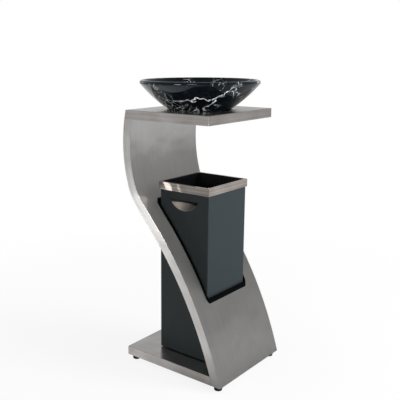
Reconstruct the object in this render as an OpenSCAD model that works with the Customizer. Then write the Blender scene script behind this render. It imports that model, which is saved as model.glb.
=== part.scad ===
// Standing ashtray bin: an S-shaped steel stand with a stone bowl on its shelf
// and a lift-out bin that stands through an opening in the curved panel.
// X runs across the stand, the front faces -Y, and Z = 0 is the floor.

/* [Stand] */
// Width of the base, the panel and the shelf
stand_w = 300; // [270:1:340]
// Depth of the base, front edge to rear edge
base_d = 330; // [310:1:370]
// Thickness of the base
base_t = 25; // [20:0.5:32]
// Height of the shelf's top above the floor
shelf_h = 733; // [700:1:780]
// Depth of the shelf
shelf_d = 279; // [250:1:310]
// Thickness of the shelf
shelf_t = 25; // [20:0.5:32]
// Thickness of the stainless sheet
sheet_t = 1.5; // [1:0.1:2]
// Thickness of the plates that close the base and the panel's foot
plate_t = 2; // [1.5:0.1:3]
// Gap at a welded or seated edge inside the stand
seat_gap = 0.1; // [0.05:0.05:0.3]

/* [Curved panel] */
// Thickness of the panel from its front face to its rear face
panel_t = 26; // [20:0.5:32]
// Lean of the panel from upright where it meets the floor end of the base
foot_lean = 15.9; // [13:0.1:18]
// Lean of the panel's straight middle
mid_lean = 40.5; // [37:0.1:43]
// Lean where the bend runs into the upper sweep
top_lean = 16.5; // [12:0.1:20]
// Radius of the lower sweep, on the rear face
low_r = 1075; // [1000:5:1150]
// Length of the straight middle
straight_l = 76; // [60:1:90]
// Radius of the bend, on the rear face
bend_r = 156; // [130:1:180]
// Radius of the upper sweep, on the rear face
top_r = 407; // [380:1:440]

/* [Bin] */
// Width of the bin
bin_w = 180; // [160:1:200]
// Depth of the bin
bin_d = 165; // [150:1:180]
// Height of the bin's rim above the floor
bin_top = 536; // [500:1:560]
// Distance of the bin's front face behind the base's front edge
bin_setback = 89; // [80:1:100]
// Thickness of the bin's walls
bin_wall = 1.2; // [0.8:0.1:2]
// Outside radius of the bin's upright edges
bin_r = 2.5; // [2:0.5:6]
// Height of the bin floor's upturned edge
bin_floor_lip = 15; // [10:1:25]
// Height of the rubber bumpers under the bin
bumper_h = 3; // [2:0.5:8]
// Diameter of the rubber bumpers
bumper_dia = 20; // [14:1:26]
// Distance of a bumper's centre from the bin's faces
bumper_inset = 22; // [18:1:35]

/* [Panel opening] */
// Gap beside the bin in the panel's opening
opening_side_gap = 6; // [4:0.5:10]
// Gap in front of the bin
opening_front_gap = 9; // [6:0.5:12]
// Gap behind the bin
opening_rear_gap = 12; // [8:0.5:16]
// Corner radius of the opening
opening_r = 9; // [6:0.5:14]
// Thickness of the rubber edging that lines the opening
edging_t = 4; // [2:0.5:5]
// Height that the edging stands above the front sheet
edging_up = 7; // [5:0.5:12]

/* [Collar] */
// Height of the collar's outer skirt
collar_h = 22; // [16:0.5:30]
// Height of the collar's inner skirt
collar_inner_h = 13; // [8:0.5:20]
// How far the collar stands out past the bin's walls
collar_out = 3; // [2.5:0.1:5]
// How far the collar reaches in past the bin's walls
collar_in = 2.2; // [2:0.1:4]
// Outside radius of the collar's upright edges
collar_r = 1.5; // [1:0.5:4]
// Thickness of the collar's sheet
collar_sheet = 1.2; // [0.8:0.1:1.5]

/* [Handle cups] */
// Distance of the half-moon's straight edge below the bin's rim
cup_drop = 44; // [36:1:70]
// Width of the half-moon along its straight edge
cup_w = 92; // [80:1:110]
// Height of the half-moon
cup_h = 27.4; // [22:0.2:36]
// Depth of the cup if its dish went on to the middle of its circle
cup_depth = 20; // [14:0.5:24]
// Height of the finger room above the straight edge
cup_hook = 9; // [6:0.5:12]
// Thickness of the cup's sheet
cup_sheet = 1.2; // [0.8:0.1:1.5]
// Width of the flange round the half-moon
cup_flange = 2; // [1.5:0.5:5]
// Gap between the cup and the hole in the bin's wall
cup_gap = 0.4; // [0.2:0.1:0.8]

/* [Bowl] */
// Outside radius of the bowl at its rim
bowl_r = 165; // [145:1:175]
// Height of the bowl
bowl_h = 79; // [65:1:90]
// Radius of the bowl's flat foot
bowl_foot_r = 87; // [75:1:100]
// Radius of the arc that bows the bowl's wall outward
bowl_bow_r = 400; // [300:5:600]
// Radius of the rounded lip
bowl_lip_r = 6.5; // [5:0.5:8]
// Thickness of the stone under the middle of the bowl
bowl_floor_t = 12; // [10:0.5:18]
// Diameter of the pads under the bowl
pad_dia = 18; // [12:1:24]
// Thickness of a pad
pad_t = 2.5; // [2.5:0.1:4]
// Depth of the pocket that holds a pad
pad_pocket = 2; // [1:0.1:2.2]
// Distance of a pad from the bowl's axis
pad_ring_r = 68; // [55:1:72]

/* [Feet and fasteners] */
// Height of the feet
foot_h = 14; // [10:0.5:20]
// Diameter of a foot where it meets the base
foot_dia = 24; // [18:0.5:30]
// Diameter of a foot on the floor
foot_tip_dia = 22; // [16:0.5:28]
// Distance of a foot's centre from the base's edges
foot_inset = 18; // [16:0.5:22]
// Depth of the recess for the screw's head in a foot
foot_recess = 8; // [5:0.5:9]
// Thread size of the screws
screw_dia = 4; // [3:0.5:5]
// Thread size of the bolts that join the panel to the base
bolt_dia = 6; // [5:0.5:8]
// Clearance round a screw or bolt in its hole
hole_gap = 0.4; // [0.2:0.1:0.8]
// Length of a cleat's two legs
cleat_leg = 15; // [12:1:18]
// Width of a cleat
cleat_w = 20; // [14:1:30]
// Distance of the cleats from the middle of the base, front to rear
cleat_spread = 75; // [50:1:95]
// Distance of the outer panel bolts from the middle
bolt_spread = 105; // [80:1:120]

/* [Hidden] */
$fn = 96;
// Facets of the panel's large sweeps in a preview
sweep_fn = 1440;

// Colours
steel = "#A8A5A2";
plated = "#8C9094";
charcoal = "#3A4446";
stone = "#14181A";
rubber = "#1A1A1A";

// Heights of the stand
base_top = foot_h + base_t;
shelf_bottom = shelf_h - shelf_t;

// Centres of the panel's sweeps in [y, z], with y measured back from the base's front edge.
// The chain runs up from the base's front edge, and each arc is tangent to the next.
low_front_r = low_r + panel_t;
low_c = [low_front_r * cos(foot_lean), foot_h - low_front_r * sin(foot_lean)];
straight_end = low_c + low_r * [-cos(mid_lean), sin(mid_lean)] + straight_l * [sin(mid_lean), cos(mid_lean)];
bend_c = straight_end - bend_r * [cos(mid_lean), -sin(mid_lean)];
top_c = bend_c - (top_r - bend_r) * [cos(top_lean), -sin(top_lean)];

// A distance that is well outside the stand, for cuts
reach = 2 * shelf_h;
// Overlap of neighbouring stretches of the panel
lap = 0.02;
// The lean at which the upper sweep's sector ends, above the shelf
top_end_lean = -asin(min(0.9, (shelf_h - top_c[1]) / (top_r - panel_t) + 0.15));
// The lean at which the lower sweep's sector ends, under the floor
low_end_lean = foot_lean - 8;

// Shelf, in y from the base's front edge
shelf_rear = top_c[0] + sqrt(pow(top_r, 2) - pow(shelf_h - top_c[1], 2));
shelf_front = shelf_rear - shelf_d;
bowl_y = shelf_rear - shelf_d / 2;

// The whole object's depth is centred on Y = 0
panel_bulge = top_c[0] + top_r;
overall_rear = max(base_d, panel_bulge, bowl_y + bowl_r);
overall_front = min(0, shelf_front, bowl_y - bowl_r);
middle_y = (overall_front + overall_rear) / 2;

// Bin
bin_bottom = base_top + bumper_h;
bin_y = bin_setback + bin_d / 2;
shell_top = bin_top - collar_sheet;

// Panel opening, as a plan cut straight down through both skins
opening_w = bin_w + 2 * opening_side_gap;
opening_front = bin_setback - opening_front_gap;
opening_rear = bin_setback + bin_d + opening_rear_gap;

// Handle cups: a half-moon is a segment of a circle, and its dish is part of a sphere
cup_top = bin_top - cup_drop;
cup_r = (pow(cup_w / 2, 2) + pow(cup_h, 2)) / (2 * cup_h);
cup_circle_z = cup_top - cup_h + cup_r;
dish_r = (pow(cup_r, 2) + pow(cup_depth, 2)) / (2 * cup_depth);
dish_out = dish_r - cup_depth;
cup_hole_r = sqrt(pow(dish_r + cup_sheet, 2) - pow(dish_out, 2)) + cup_gap;

// Bowl: the wall's outer arc starts at the foot and is tangent to the lip's circle
lip_c = [bowl_r - bowl_lip_r, bowl_h - bowl_lip_r];
wall_foot = [bowl_foot_r, 0];
lip_way = lip_c - wall_foot;
bow_inner_r = bowl_bow_r - bowl_lip_r;
bow_along = (pow(bowl_bow_r, 2) - pow(bow_inner_r, 2) + pow(norm(lip_way), 2)) / (2 * norm(lip_way));
bow_aside = sqrt(pow(bowl_bow_r, 2) - pow(bow_along, 2));
bow_c = wall_foot + (bow_along * lip_way + bow_aside * [-lip_way[1], lip_way[0]]) / norm(lip_way);
wall_head = bow_c + bowl_bow_r * (lip_c - bow_c) / bow_inner_r;
// The inside is a dish that is tangent to the lip
dish_rise = lip_c[1] - bowl_floor_t;
inside_r = (pow(lip_c[0], 2) + pow(dish_rise, 2) - pow(bowl_lip_r, 2)) / (2 * (dish_rise + bowl_lip_r));
inside_c = [0, bowl_floor_t + inside_r];
inside_touch = inside_c + inside_r * (lip_c - inside_c) / norm(lip_c - inside_c);
bowl_z = shelf_h + pad_t - pad_pocket;

// Fasteners
screw_hole = screw_dia + hole_gap;
screw_head_dia = 2 * screw_dia;
screw_head_h = 0.6 * screw_dia;
screw_nut_af = 1.75 * screw_dia;
screw_nut_h = 0.8 * screw_dia;
bolt_hole = bolt_dia + hole_gap;
bolt_head_af = 1.65 * bolt_dia;
bolt_head_h = 0.65 * bolt_dia;
bolt_nut_h = 0.8 * bolt_dia;
// The angle of the rear face where the panel bolts go through, half way up the base
bolt_z = foot_h + plate_t + (base_t - plate_t) / 2;
bolt_lean = asin((bolt_z - low_c[1]) / low_r);
bolt_y = low_c[0] - low_r * cos(bolt_lean);
bolt_xs = [-bolt_spread, -bolt_spread / 3, bolt_spread / 3, bolt_spread];
hex = 6;

function hex_dia(across_flats) = across_flats / cos(30);

// Moves the stand's own [x, y from the front edge, z] to the object's frame
module placed() {
    translate([0, -middle_y, 0]) children();
}

// Runs a [y, z] outline across the stand, centred on X = 0
module across(w) {
    rotate([90, 0, 90]) linear_extrude(height = w, center = true) children();
}

// Runs a [y, z] outline in X from x0 over a thickness t
module sheet_at(x0, t) {
    translate([x0, 0, 0]) rotate([90, 0, 90]) linear_extrude(height = t) children();
}

// A [y, z] window between two heights
module between(z0, z1) {
    translate([-reach, z0]) square([2 * reach, z1 - z0]);
}

// A sector of a ring: centre c, radii r0 and r1, from one direction to another in degrees,
// and a hair more at each end so that it joins its neighbour
module ring_sector(c, r0, r1, start, end) {
    more = lap / r0 * 180 / PI;
    from = start - more;
    to = end + more;
    far = r1 / cos((to - from) / 2) + 1;
    translate(c) intersection() {
        difference() {
            circle(r = r1, $fn = sweep_fn);
            circle(r = r0, $fn = sweep_fn);
        }
        polygon([[0, 0], far * [cos(from), sin(from)], far * [cos(to), sin(to)]]);
    }
}

// The panel's [y, z] outline between two depths in front of its rear face
module panel_layer(d0, d1) {
    ring_sector(low_c, low_r + d0, low_r + d1, 180 - mid_lean, 180 - low_end_lean);
    translate(straight_end) rotate(-90 - mid_lean) translate([0, -d1]) square([straight_l, d1 - d0]);
    ring_sector(bend_c, bend_r - d1, bend_r - d0, -mid_lean, -top_lean);
    ring_sector(top_c, top_r - d1, top_r - d0, -top_lean, -top_end_lean);
}

// The same outline, cut off at the base's underside and the shelf's underside
module panel_outline(d0, d1) {
    intersection() {
        panel_layer(d0, d1);
        between(foot_h, shelf_bottom);
    }
}

// A rectangle with round corners, centred in X, from y0 to y1
module round_rect(w, y0, y1, r) {
    translate([-w / 2, y0 + r]) square([w, y1 - y0 - 2 * r]);
    translate([-w / 2 + r, y0]) square([w - 2 * r, y1 - y0]);
    for (x = [-w / 2 + r, w / 2 - r], y = [y0 + r, y1 - r]) {
        translate([x, y]) circle(r = r);
    }
}

// Upright cut that the bin passes through
module opening_cut() {
    linear_extrude(height = shelf_bottom) opening_plan(0);
}

// Places a child at each foot's centre on the base's underside
module at_feet(xs = [-1, 1], ys = [0, 1]) {
    for (x = xs, y = ys) {
        translate([x * (stand_w / 2 - foot_inset), foot_inset + y * (base_d - 2 * foot_inset), foot_h]) children();
    }
}

// Places a child at each plate screw
module at_cleats() {
    for (side = [-1, 1], end = [-1, 1]) {
        translate([side * (stand_w / 2 - sheet_t), base_d / 2 + end * cleat_spread, foot_h + plate_t])
            scale_side(side) children();
    }
}

// Turns a right-hand child into a left-hand one
module scale_side(side) {
    if (side > 0) mirror([1, 0, 0]) children();
    else children();
}

// Places a child at each panel bolt, with Z along the bolt towards the front
module at_bolts() {
    for (x = bolt_xs) {
        translate([x, bolt_y, bolt_z]) rotate([90 - bolt_lean, 0, 0]) children();
    }
}

// Base: a folded tray, open below, with a front wall that backs onto the panel
module base_pan() {
    color(steel) placed() difference() {
        across(stand_w) base_outline(0);
        across(stand_w - 2 * sheet_t) base_outline(sheet_t);
        at_bolts() cylinder(d = bolt_hole, h = 4 * panel_t, center = true);
    }
}

// The base's [y, z] outline, brought in by a wall's thickness and open below
module base_outline(inset) {
    intersection() {
        translate([0, foot_h - inset]) square([base_d - inset, base_t]);
        translate(low_c) circle(r = low_r - seat_gap - inset, $fn = sweep_fn);
    }
}

// Plate that closes the base from below
module base_plate() {
    rim = sheet_t + seat_gap;
    color(plated) placed() difference() {
        across(stand_w - 2 * rim) intersection() {
            translate([0, foot_h]) square([base_d - rim, plate_t]);
            translate(low_c) circle(r = low_r - seat_gap - rim, $fn = sweep_fn);
        }
        at_feet(ys = [1]) cylinder(d = screw_hole, h = 4 * plate_t, center = true);
        at_cleats() translate([cleat_leg / 2, 0, 0]) cylinder(d = screw_hole, h = 4 * plate_t, center = true);
    }
}

// Angle cleats inside the base's side walls, which the plate is screwed to
module plate_cleats() {
    color(plated) placed() at_cleats() difference() {
        translate([0, -cleat_w / 2, 0]) cube([cleat_leg, cleat_w, cleat_leg]);
        translate([plate_t, -cleat_w, plate_t]) cube([cleat_leg, 2 * cleat_w, cleat_leg]);
        translate([cleat_leg / 2, 0, 0]) cylinder(d = screw_dia, h = 4 * plate_t, center = true);
    }
}

// Screws that hold the plate to its cleats
module plate_screws() {
    color(plated) placed() at_cleats() translate([cleat_leg / 2, 0, -plate_t]) {
        translate([0, 0, -screw_head_h]) cylinder(d = screw_head_dia, h = screw_head_h);
        cylinder(d = screw_dia - hole_gap / 2, h = 2 * plate_t + screw_dia);
    }
}

// Front sheet of the curved panel, with the opening for the bin
module panel_front_skin() {
    color(steel) placed() difference() {
        across(stand_w - 2 * sheet_t) panel_outline(panel_t - sheet_t, panel_t);
        opening_cut();
    }
}

// Rear sheet of the curved panel
module panel_rear_skin() {
    color(steel) placed() difference() {
        across(stand_w - 2 * sheet_t) panel_outline(0, sheet_t);
        opening_cut();
        at_bolts() cylinder(d = bolt_hole, h = 4 * panel_t, center = true);
    }
}

// Strips that close the panel's two sides
module panel_left_edge() {
    color(steel) placed() sheet_at(-stand_w / 2, sheet_t) panel_outline(0, panel_t);
}

module panel_right_edge() {
    color(steel) placed() sheet_at(stand_w / 2 - sheet_t, sheet_t) panel_outline(0, panel_t);
}

// The hollow between the panel's two sheets
module panel_hollow() {
    panel_outline(sheet_t + seat_gap, panel_t - sheet_t - seat_gap);
}

// Plate that closes the panel's foot and carries the front feet
module panel_foot_plate() {
    color(plated) placed() difference() {
        across(stand_w - 2 * (sheet_t + seat_gap)) intersection() {
            panel_hollow();
            between(foot_h, foot_h + plate_t);
        }
        at_feet(ys = [0]) cylinder(d = screw_hole, h = 4 * plate_t, center = true);
    }
}

// A side wall of the opening, between the two sheets
module side_lining(x0) {
    sheet_at(x0, sheet_t) intersection() {
        panel_hollow();
        translate([opening_front, 0]) square([opening_rear - opening_front, shelf_h]);
    }
}

module opening_left_lining() {
    color(steel) placed() side_lining(-opening_w / 2 - sheet_t);
}

module opening_right_lining() {
    color(steel) placed() side_lining(opening_w / 2);
}

// A cross wall of the opening, upright behind or in front of the bin
module cross_lining(y0) {
    across(opening_w + 2 * sheet_t) intersection() {
        panel_hollow();
        translate([y0, 0]) square([sheet_t, shelf_h]);
    }
}

module opening_upper_lining() {
    color(steel) placed() cross_lining(opening_rear);
}

module opening_lower_lining() {
    color(steel) placed() cross_lining(opening_front - sheet_t);
}

// The opening's plan, brought in by an inset
module opening_plan(inset) {
    round_rect(opening_w - 2 * inset, opening_front + inset, opening_rear - inset, opening_r - inset);
}

// Rubber edging round the inside of the opening, which stands a little above the front sheet
module opening_edging() {
    color(rubber) placed() intersection() {
        across(opening_w) translate([0, edging_up]) panel_layer(0, panel_t);
        linear_extrude(height = shelf_bottom) difference() {
            opening_plan(seat_gap);
            opening_plan(seat_gap + edging_t);
        }
    }
}

// Bolts from inside the base, through its front wall and the panel's rear sheet
module panel_bolts() {
    grip = 2 * sheet_t + 3 * seat_gap;
    color(plated) placed() at_bolts() translate([0, 0, -sheet_t - 2 * seat_gap]) {
        translate([0, 0, -bolt_head_h]) cylinder(d = hex_dia(bolt_head_af), h = bolt_head_h, $fn = hex);
        cylinder(d = bolt_dia - hole_gap / 2, h = grip + bolt_nut_h + sheet_t);
    }
}

// Nuts on those bolts, inside the panel
module panel_nuts() {
    color(plated) placed() at_bolts() translate([0, 0, sheet_t + seat_gap]) difference() {
        cylinder(d = hex_dia(bolt_head_af), h = bolt_nut_h, $fn = hex);
        cylinder(d = bolt_dia, h = 4 * bolt_nut_h, center = true);
    }
}

// Shelf: a folded tray, open below, whose rear wall carries on the panel's sweep
module shelf_tray() {
    color(steel) placed() difference() {
        across(stand_w) shelf_outline(0);
        across(stand_w - 2 * sheet_t) shelf_outline(sheet_t);
    }
}

// The shelf's [y, z] outline, brought in by a wall's thickness and open below
module shelf_outline(inset) {
    intersection() {
        translate([shelf_front + inset, shelf_bottom - inset]) square([2 * shelf_d, shelf_t]);
        translate(top_c) circle(r = top_r - inset, $fn = sweep_fn);
    }
}

// Sheet that closes the shelf from below
module shelf_underside() {
    rim = sheet_t + seat_gap;
    color(steel) placed() across(stand_w - 2 * rim) intersection() {
        translate([shelf_front + rim, shelf_bottom]) square([2 * shelf_d, sheet_t]);
        translate(top_c) circle(r = top_r - rim, $fn = sweep_fn);
    }
}

// A rubber foot under the point where it is placed, with a recess for its screw
module rubber_foot() {
    r_top = foot_dia / 2;
    r_tip = foot_tip_dia / 2;
    r_hole = screw_hole / 2;
    r_recess = screw_head_dia / 2 + hole_gap;
    rotate_extrude() polygon([[r_hole, 0], [r_top, 0], [r_tip, -foot_h], [r_recess, -foot_h],
                              [r_recess, foot_recess - foot_h], [r_hole, foot_recess - foot_h]]);
}

module front_left_foot() {
    color(rubber) placed() at_feet([-1], [0]) rubber_foot();
}

module front_right_foot() {
    color(rubber) placed() at_feet([1], [0]) rubber_foot();
}

module rear_left_foot() {
    color(rubber) placed() at_feet([-1], [1]) rubber_foot();
}

module rear_right_foot() {
    color(rubber) placed() at_feet([1], [1]) rubber_foot();
}

// Screws that hold the feet
module foot_screws() {
    shank = foot_h - foot_recess + plate_t + screw_nut_h + screw_dia / 4;
    color(plated) placed() at_feet() translate([0, 0, foot_recess - foot_h]) {
        translate([0, 0, -screw_head_h]) cylinder(d = screw_head_dia, h = screw_head_h);
        cylinder(d = screw_dia - hole_gap / 2, h = shank);
    }
}

// Nuts on the feet's screws, inside the base and the panel's foot
module foot_nuts() {
    color(plated) placed() at_feet() translate([0, 0, plate_t]) difference() {
        cylinder(d = hex_dia(screw_nut_af), h = screw_nut_h, $fn = hex);
        cylinder(d = screw_dia, h = 4 * screw_nut_h, center = true);
    }
}

// The bin's plan, brought in by an inset
module bin_plan(inset) {
    round_rect(bin_w - 2 * inset, bin_setback + inset, bin_setback + bin_d - inset, max(0.5, bin_r - inset));
}

// Four walls of the bin, with a half-moon hole in each side
module bin_shell() {
    color(charcoal) placed() difference() {
        translate([0, 0, bin_bottom]) linear_extrude(height = shell_top - bin_bottom) bin_plan(0);
        linear_extrude(height = shelf_h) bin_plan(bin_wall);
        intersection() {
            translate([0, bin_y, cup_circle_z]) rotate([0, 90, 0])
                cylinder(r = cup_hole_r, h = 2 * bin_w, center = true);
            translate([-bin_w, 0, 0]) cube([2 * bin_w, base_d, cup_top]);
        }
    }
}

// Floor tray of the bin, with an upturned edge inside the walls
module bin_floor() {
    outside = bin_wall + seat_gap;
    color(charcoal) placed() translate([0, 0, bin_bottom]) difference() {
        linear_extrude(height = bin_floor_lip) bin_plan(outside);
        translate([0, 0, bin_wall]) linear_extrude(height = bin_floor_lip) bin_plan(outside + bin_wall);
    }
}

// Rubber bumpers under the bin's floor
module bin_bumpers() {
    color(rubber) placed() for (x = [-1, 1], y = [-1, 1]) {
        translate([x * (bin_w / 2 - bumper_inset), bin_y + y * (bin_d / 2 - bumper_inset), base_top])
            cylinder(d = bumper_dia, h = bumper_h);
    }
}

// Half-moon [y, z] outline of radius r, cut off at a height
module half_moon(r, top) {
    intersection() {
        translate([bin_y, cup_circle_z]) circle(r = r);
        translate([0, 0]) square([base_d, top]);
    }
}

// Steel cup behind the half-moon hole in the bin's left wall
module handle_cup() {
    wall_x = -bin_w / 2;
    inner_x = wall_x + bin_wall + cup_gap;
    roof = cup_top + cup_hook;
    dish_x = wall_x - dish_out;
    difference() {
        union() {
            sheet_at(wall_x - cup_sheet, cup_sheet) half_moon(cup_r + cup_flange, cup_top);
            intersection() {
                translate([dish_x, bin_y, cup_circle_z]) sphere(r = dish_r + cup_sheet);
                union() {
                    translate([wall_x, 0, 0]) cube([bin_w, base_d, cup_top]);
                    translate([inner_x, 0, 0]) cube([bin_w, base_d, roof + cup_sheet]);
                }
            }
        }
        intersection() {
            translate([dish_x, bin_y, cup_circle_z]) sphere(r = dish_r);
            union() {
                translate([wall_x - bin_w, 0, 0]) cube([2 * bin_w, base_d, cup_top]);
                translate([inner_x + cup_sheet, 0, 0]) cube([bin_w, base_d, roof]);
            }
        }
    }
}

module left_handle_cup() {
    color(steel) placed() handle_cup();
}

module right_handle_cup() {
    color(steel) placed() mirror([1, 0, 0]) handle_cup();
}

// The collar's plan, with its mitred corners, brought out past the bin's walls
module collar_plan(out, r) {
    round_rect(bin_w + 2 * out, bin_setback - out, bin_setback + bin_d + out, r);
}

// Collar: a folded channel that sits over the bin's top edge
module bin_collar() {
    channel_r = max(0.3, collar_r - collar_sheet);
    color(steel) placed() difference() {
        translate([0, 0, bin_top - collar_h]) linear_extrude(height = collar_h) collar_plan(collar_out, collar_r);
        linear_extrude(height = shelf_h) bin_plan(bin_wall + collar_in);
        linear_extrude(height = shell_top) difference() {
            collar_plan(collar_out - collar_sheet, channel_r);
            bin_plan(bin_wall + collar_in - collar_sheet);
        }
        linear_extrude(height = bin_top - collar_inner_h) collar_plan(collar_out - collar_sheet, channel_r);
    }
}

// Stone bowl: bowed outside, dished inside, with a rounded lip
module stone_bowl() {
    color(stone) placed() translate([0, bowl_y, bowl_z]) difference() {
        rotate_extrude() {
            difference() {
                intersection() {
                    translate(bow_c) circle(r = bowl_bow_r);
                    polygon([[0, 0], [bowl_r, 0], wall_head, lip_c, inside_touch, [0, inside_touch[1]]]);
                }
                translate(inside_c) circle(r = inside_r);
            }
            translate(lip_c) circle(r = bowl_lip_r);
        }
        at_pads() cylinder(d = pad_dia + hole_gap, h = 2 * pad_pocket, center = true);
    }
}

// Places a child at each pad, round the bowl's axis
module at_pads() {
    for (turn = [45:90:315]) {
        rotate(turn) translate([pad_ring_r, 0, 0]) children();
    }
}

// Pads that keep the bowl from sliding on the shelf
module bowl_pads() {
    color(rubber) placed() translate([0, bowl_y, shelf_h]) at_pads() cylinder(d = pad_dia, h = pad_t);
}

base_pan();
base_plate();
plate_cleats();
plate_screws();
panel_front_skin();
panel_rear_skin();
panel_left_edge();
panel_right_edge();
panel_foot_plate();
opening_left_lining();
opening_right_lining();
opening_upper_lining();
opening_lower_lining();
opening_edging();
panel_bolts();
panel_nuts();
shelf_tray();
shelf_underside();
front_left_foot();
front_right_foot();
rear_left_foot();
rear_right_foot();
foot_screws();
foot_nuts();
bin_shell();
bin_floor();
left_handle_cup();
right_handle_cup();
bin_bumpers();
bin_collar();
stone_bowl();
bowl_pads();
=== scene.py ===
# %% [markdown]
# # A standing ashtray bin
#
# A steel panel rises from its base in a long S and carries a shelf. A charcoal bin stands through an opening
# in the panel, and a stone bowl for the sand lies on the shelf. The engineering model gives every solid.
# In this lesson each piece that the eye meets is modelled again with bmesh tools, so that its faces are
# smooth, its folds are round and its grain runs the way the sheet was brushed.

# %% Load the frame
import math

import bmesh
import bpy
from mathutils import Matrix, Vector


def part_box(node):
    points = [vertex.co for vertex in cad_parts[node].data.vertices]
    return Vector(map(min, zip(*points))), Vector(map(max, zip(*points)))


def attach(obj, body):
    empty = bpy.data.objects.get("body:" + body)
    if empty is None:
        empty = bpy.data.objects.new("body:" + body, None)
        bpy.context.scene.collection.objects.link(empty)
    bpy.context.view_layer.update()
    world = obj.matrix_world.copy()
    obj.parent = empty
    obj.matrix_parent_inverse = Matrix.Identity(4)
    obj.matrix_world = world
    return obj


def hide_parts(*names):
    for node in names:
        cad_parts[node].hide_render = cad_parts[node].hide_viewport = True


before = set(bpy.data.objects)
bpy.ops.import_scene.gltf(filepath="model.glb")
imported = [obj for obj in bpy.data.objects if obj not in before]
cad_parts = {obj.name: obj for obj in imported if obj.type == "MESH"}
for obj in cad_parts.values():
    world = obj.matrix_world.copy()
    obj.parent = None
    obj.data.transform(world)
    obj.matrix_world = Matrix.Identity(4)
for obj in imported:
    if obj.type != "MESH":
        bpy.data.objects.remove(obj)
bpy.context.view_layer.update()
scene = bpy.context.scene

# %% [markdown]
# ## The camera
#
# The camera comes first, because every later choice is judged through it. It stands 1.8 m away across the
# floor, to the left of the stand's front and a little above the bowl, and looks 13 degrees down. A lens can
# also be slid sideways instead of turned: that shift moves the picture and leaves its perspective alone.

# %% Camera
LOOK_DOWN, LOOK_RIGHT = math.radians(12.97), math.radians(50.6)
camera_data = bpy.data.cameras.new("camera")
camera_data.sensor_fit = "HORIZONTAL"
camera_data.sensor_width = 36.0
camera_data.lens = 58.31
camera_data.shift_x = 0.0826
camera_data.clip_start = 0.05
camera_data.clip_end = 60
camera = bpy.data.objects.new("camera", camera_data)
scene.collection.objects.link(camera)
camera.location = (-1.4452, -1.0592, 0.8891)
camera.rotation_euler = (math.pi / 2 - LOOK_DOWN, 0, -LOOK_RIGHT)
scene.camera = camera
scene.view_settings.view_transform = "Standard"
print("camera distance across the floor in m:", round(camera.location.xy.length, 2))

# %% [markdown]
# ## Colours and nodes
#
# Colours are written as sRGB hex, the way a colour picker shows them, and Blender's sockets want linear
# light, so one function converts. A second small function adds a shader node, sets its properties and
# either sets or links its inputs. It keeps every material below short enough to read. Inputs that share
# their name with another go by number: a Map Range node takes input 0 from the range between 1 and 2 to the
# range between 3 and 4, and a Mix node goes from colour 6 to colour 7. The scale of a texture counts its
# cells in a metre, so 500 gives a pattern of 2 mm.

# %% Colour and node helpers
FACTOR, FROM_COLOUR, TO_COLOUR = 0, 6, 7


def hex_colour(text):
    """An sRGB hex colour as linear RGBA."""
    srgb = [int(text[i : i + 2], 16) / 255 for i in (1, 3, 5)]
    return tuple(c / 12.92 if c <= 0.04045 else ((c + 0.055) / 1.055) ** 2.4 for c in srgb) + (1.0,)


def add(tree, kind, inputs=None, **settings):
    """Adds a node. An input takes a value, a socket to link from, or a node for its first live output."""
    node = tree.nodes.new("ShaderNode" + kind)
    for name, value in settings.items():
        setattr(node, name, value)
    for key, value in (inputs or {}).items():
        if isinstance(value, bpy.types.Node):
            value = next(socket for socket in value.outputs if socket.enabled)
        if isinstance(value, bpy.types.NodeSocket):
            tree.links.new(value, node.inputs[key])
        else:
            node.inputs[key].default_value = value
    return node


def new_material(name):
    """A node material with nothing in it, and its tree."""
    material = bpy.data.materials.new(name)
    material.use_nodes = True
    material.node_tree.nodes.clear()
    return material, material.node_tree


print("mid grey is", round(hex_colour("#808080")[0], 3))

# %% [markdown]
# ## Brushed stainless steel
#
# Brushing leaves fine parallel lines, which spread a reflection across them and keep it sharp along them.
# Three things show this: streaks in the colour, streaks in the roughness, and anisotropy, the shader's own
# name for a highlight that is stretched one way. All three need to know which way the lines run, so every
# steel piece gets a UV map called grain, in metres, with U along the lines and V across them. Noise that is
# stretched along U draws the lines, and unlike a picture of them it stays sharp close up. A thin sheet is
# also never quite flat, so a slow second bump lets its reflections sway.

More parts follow.
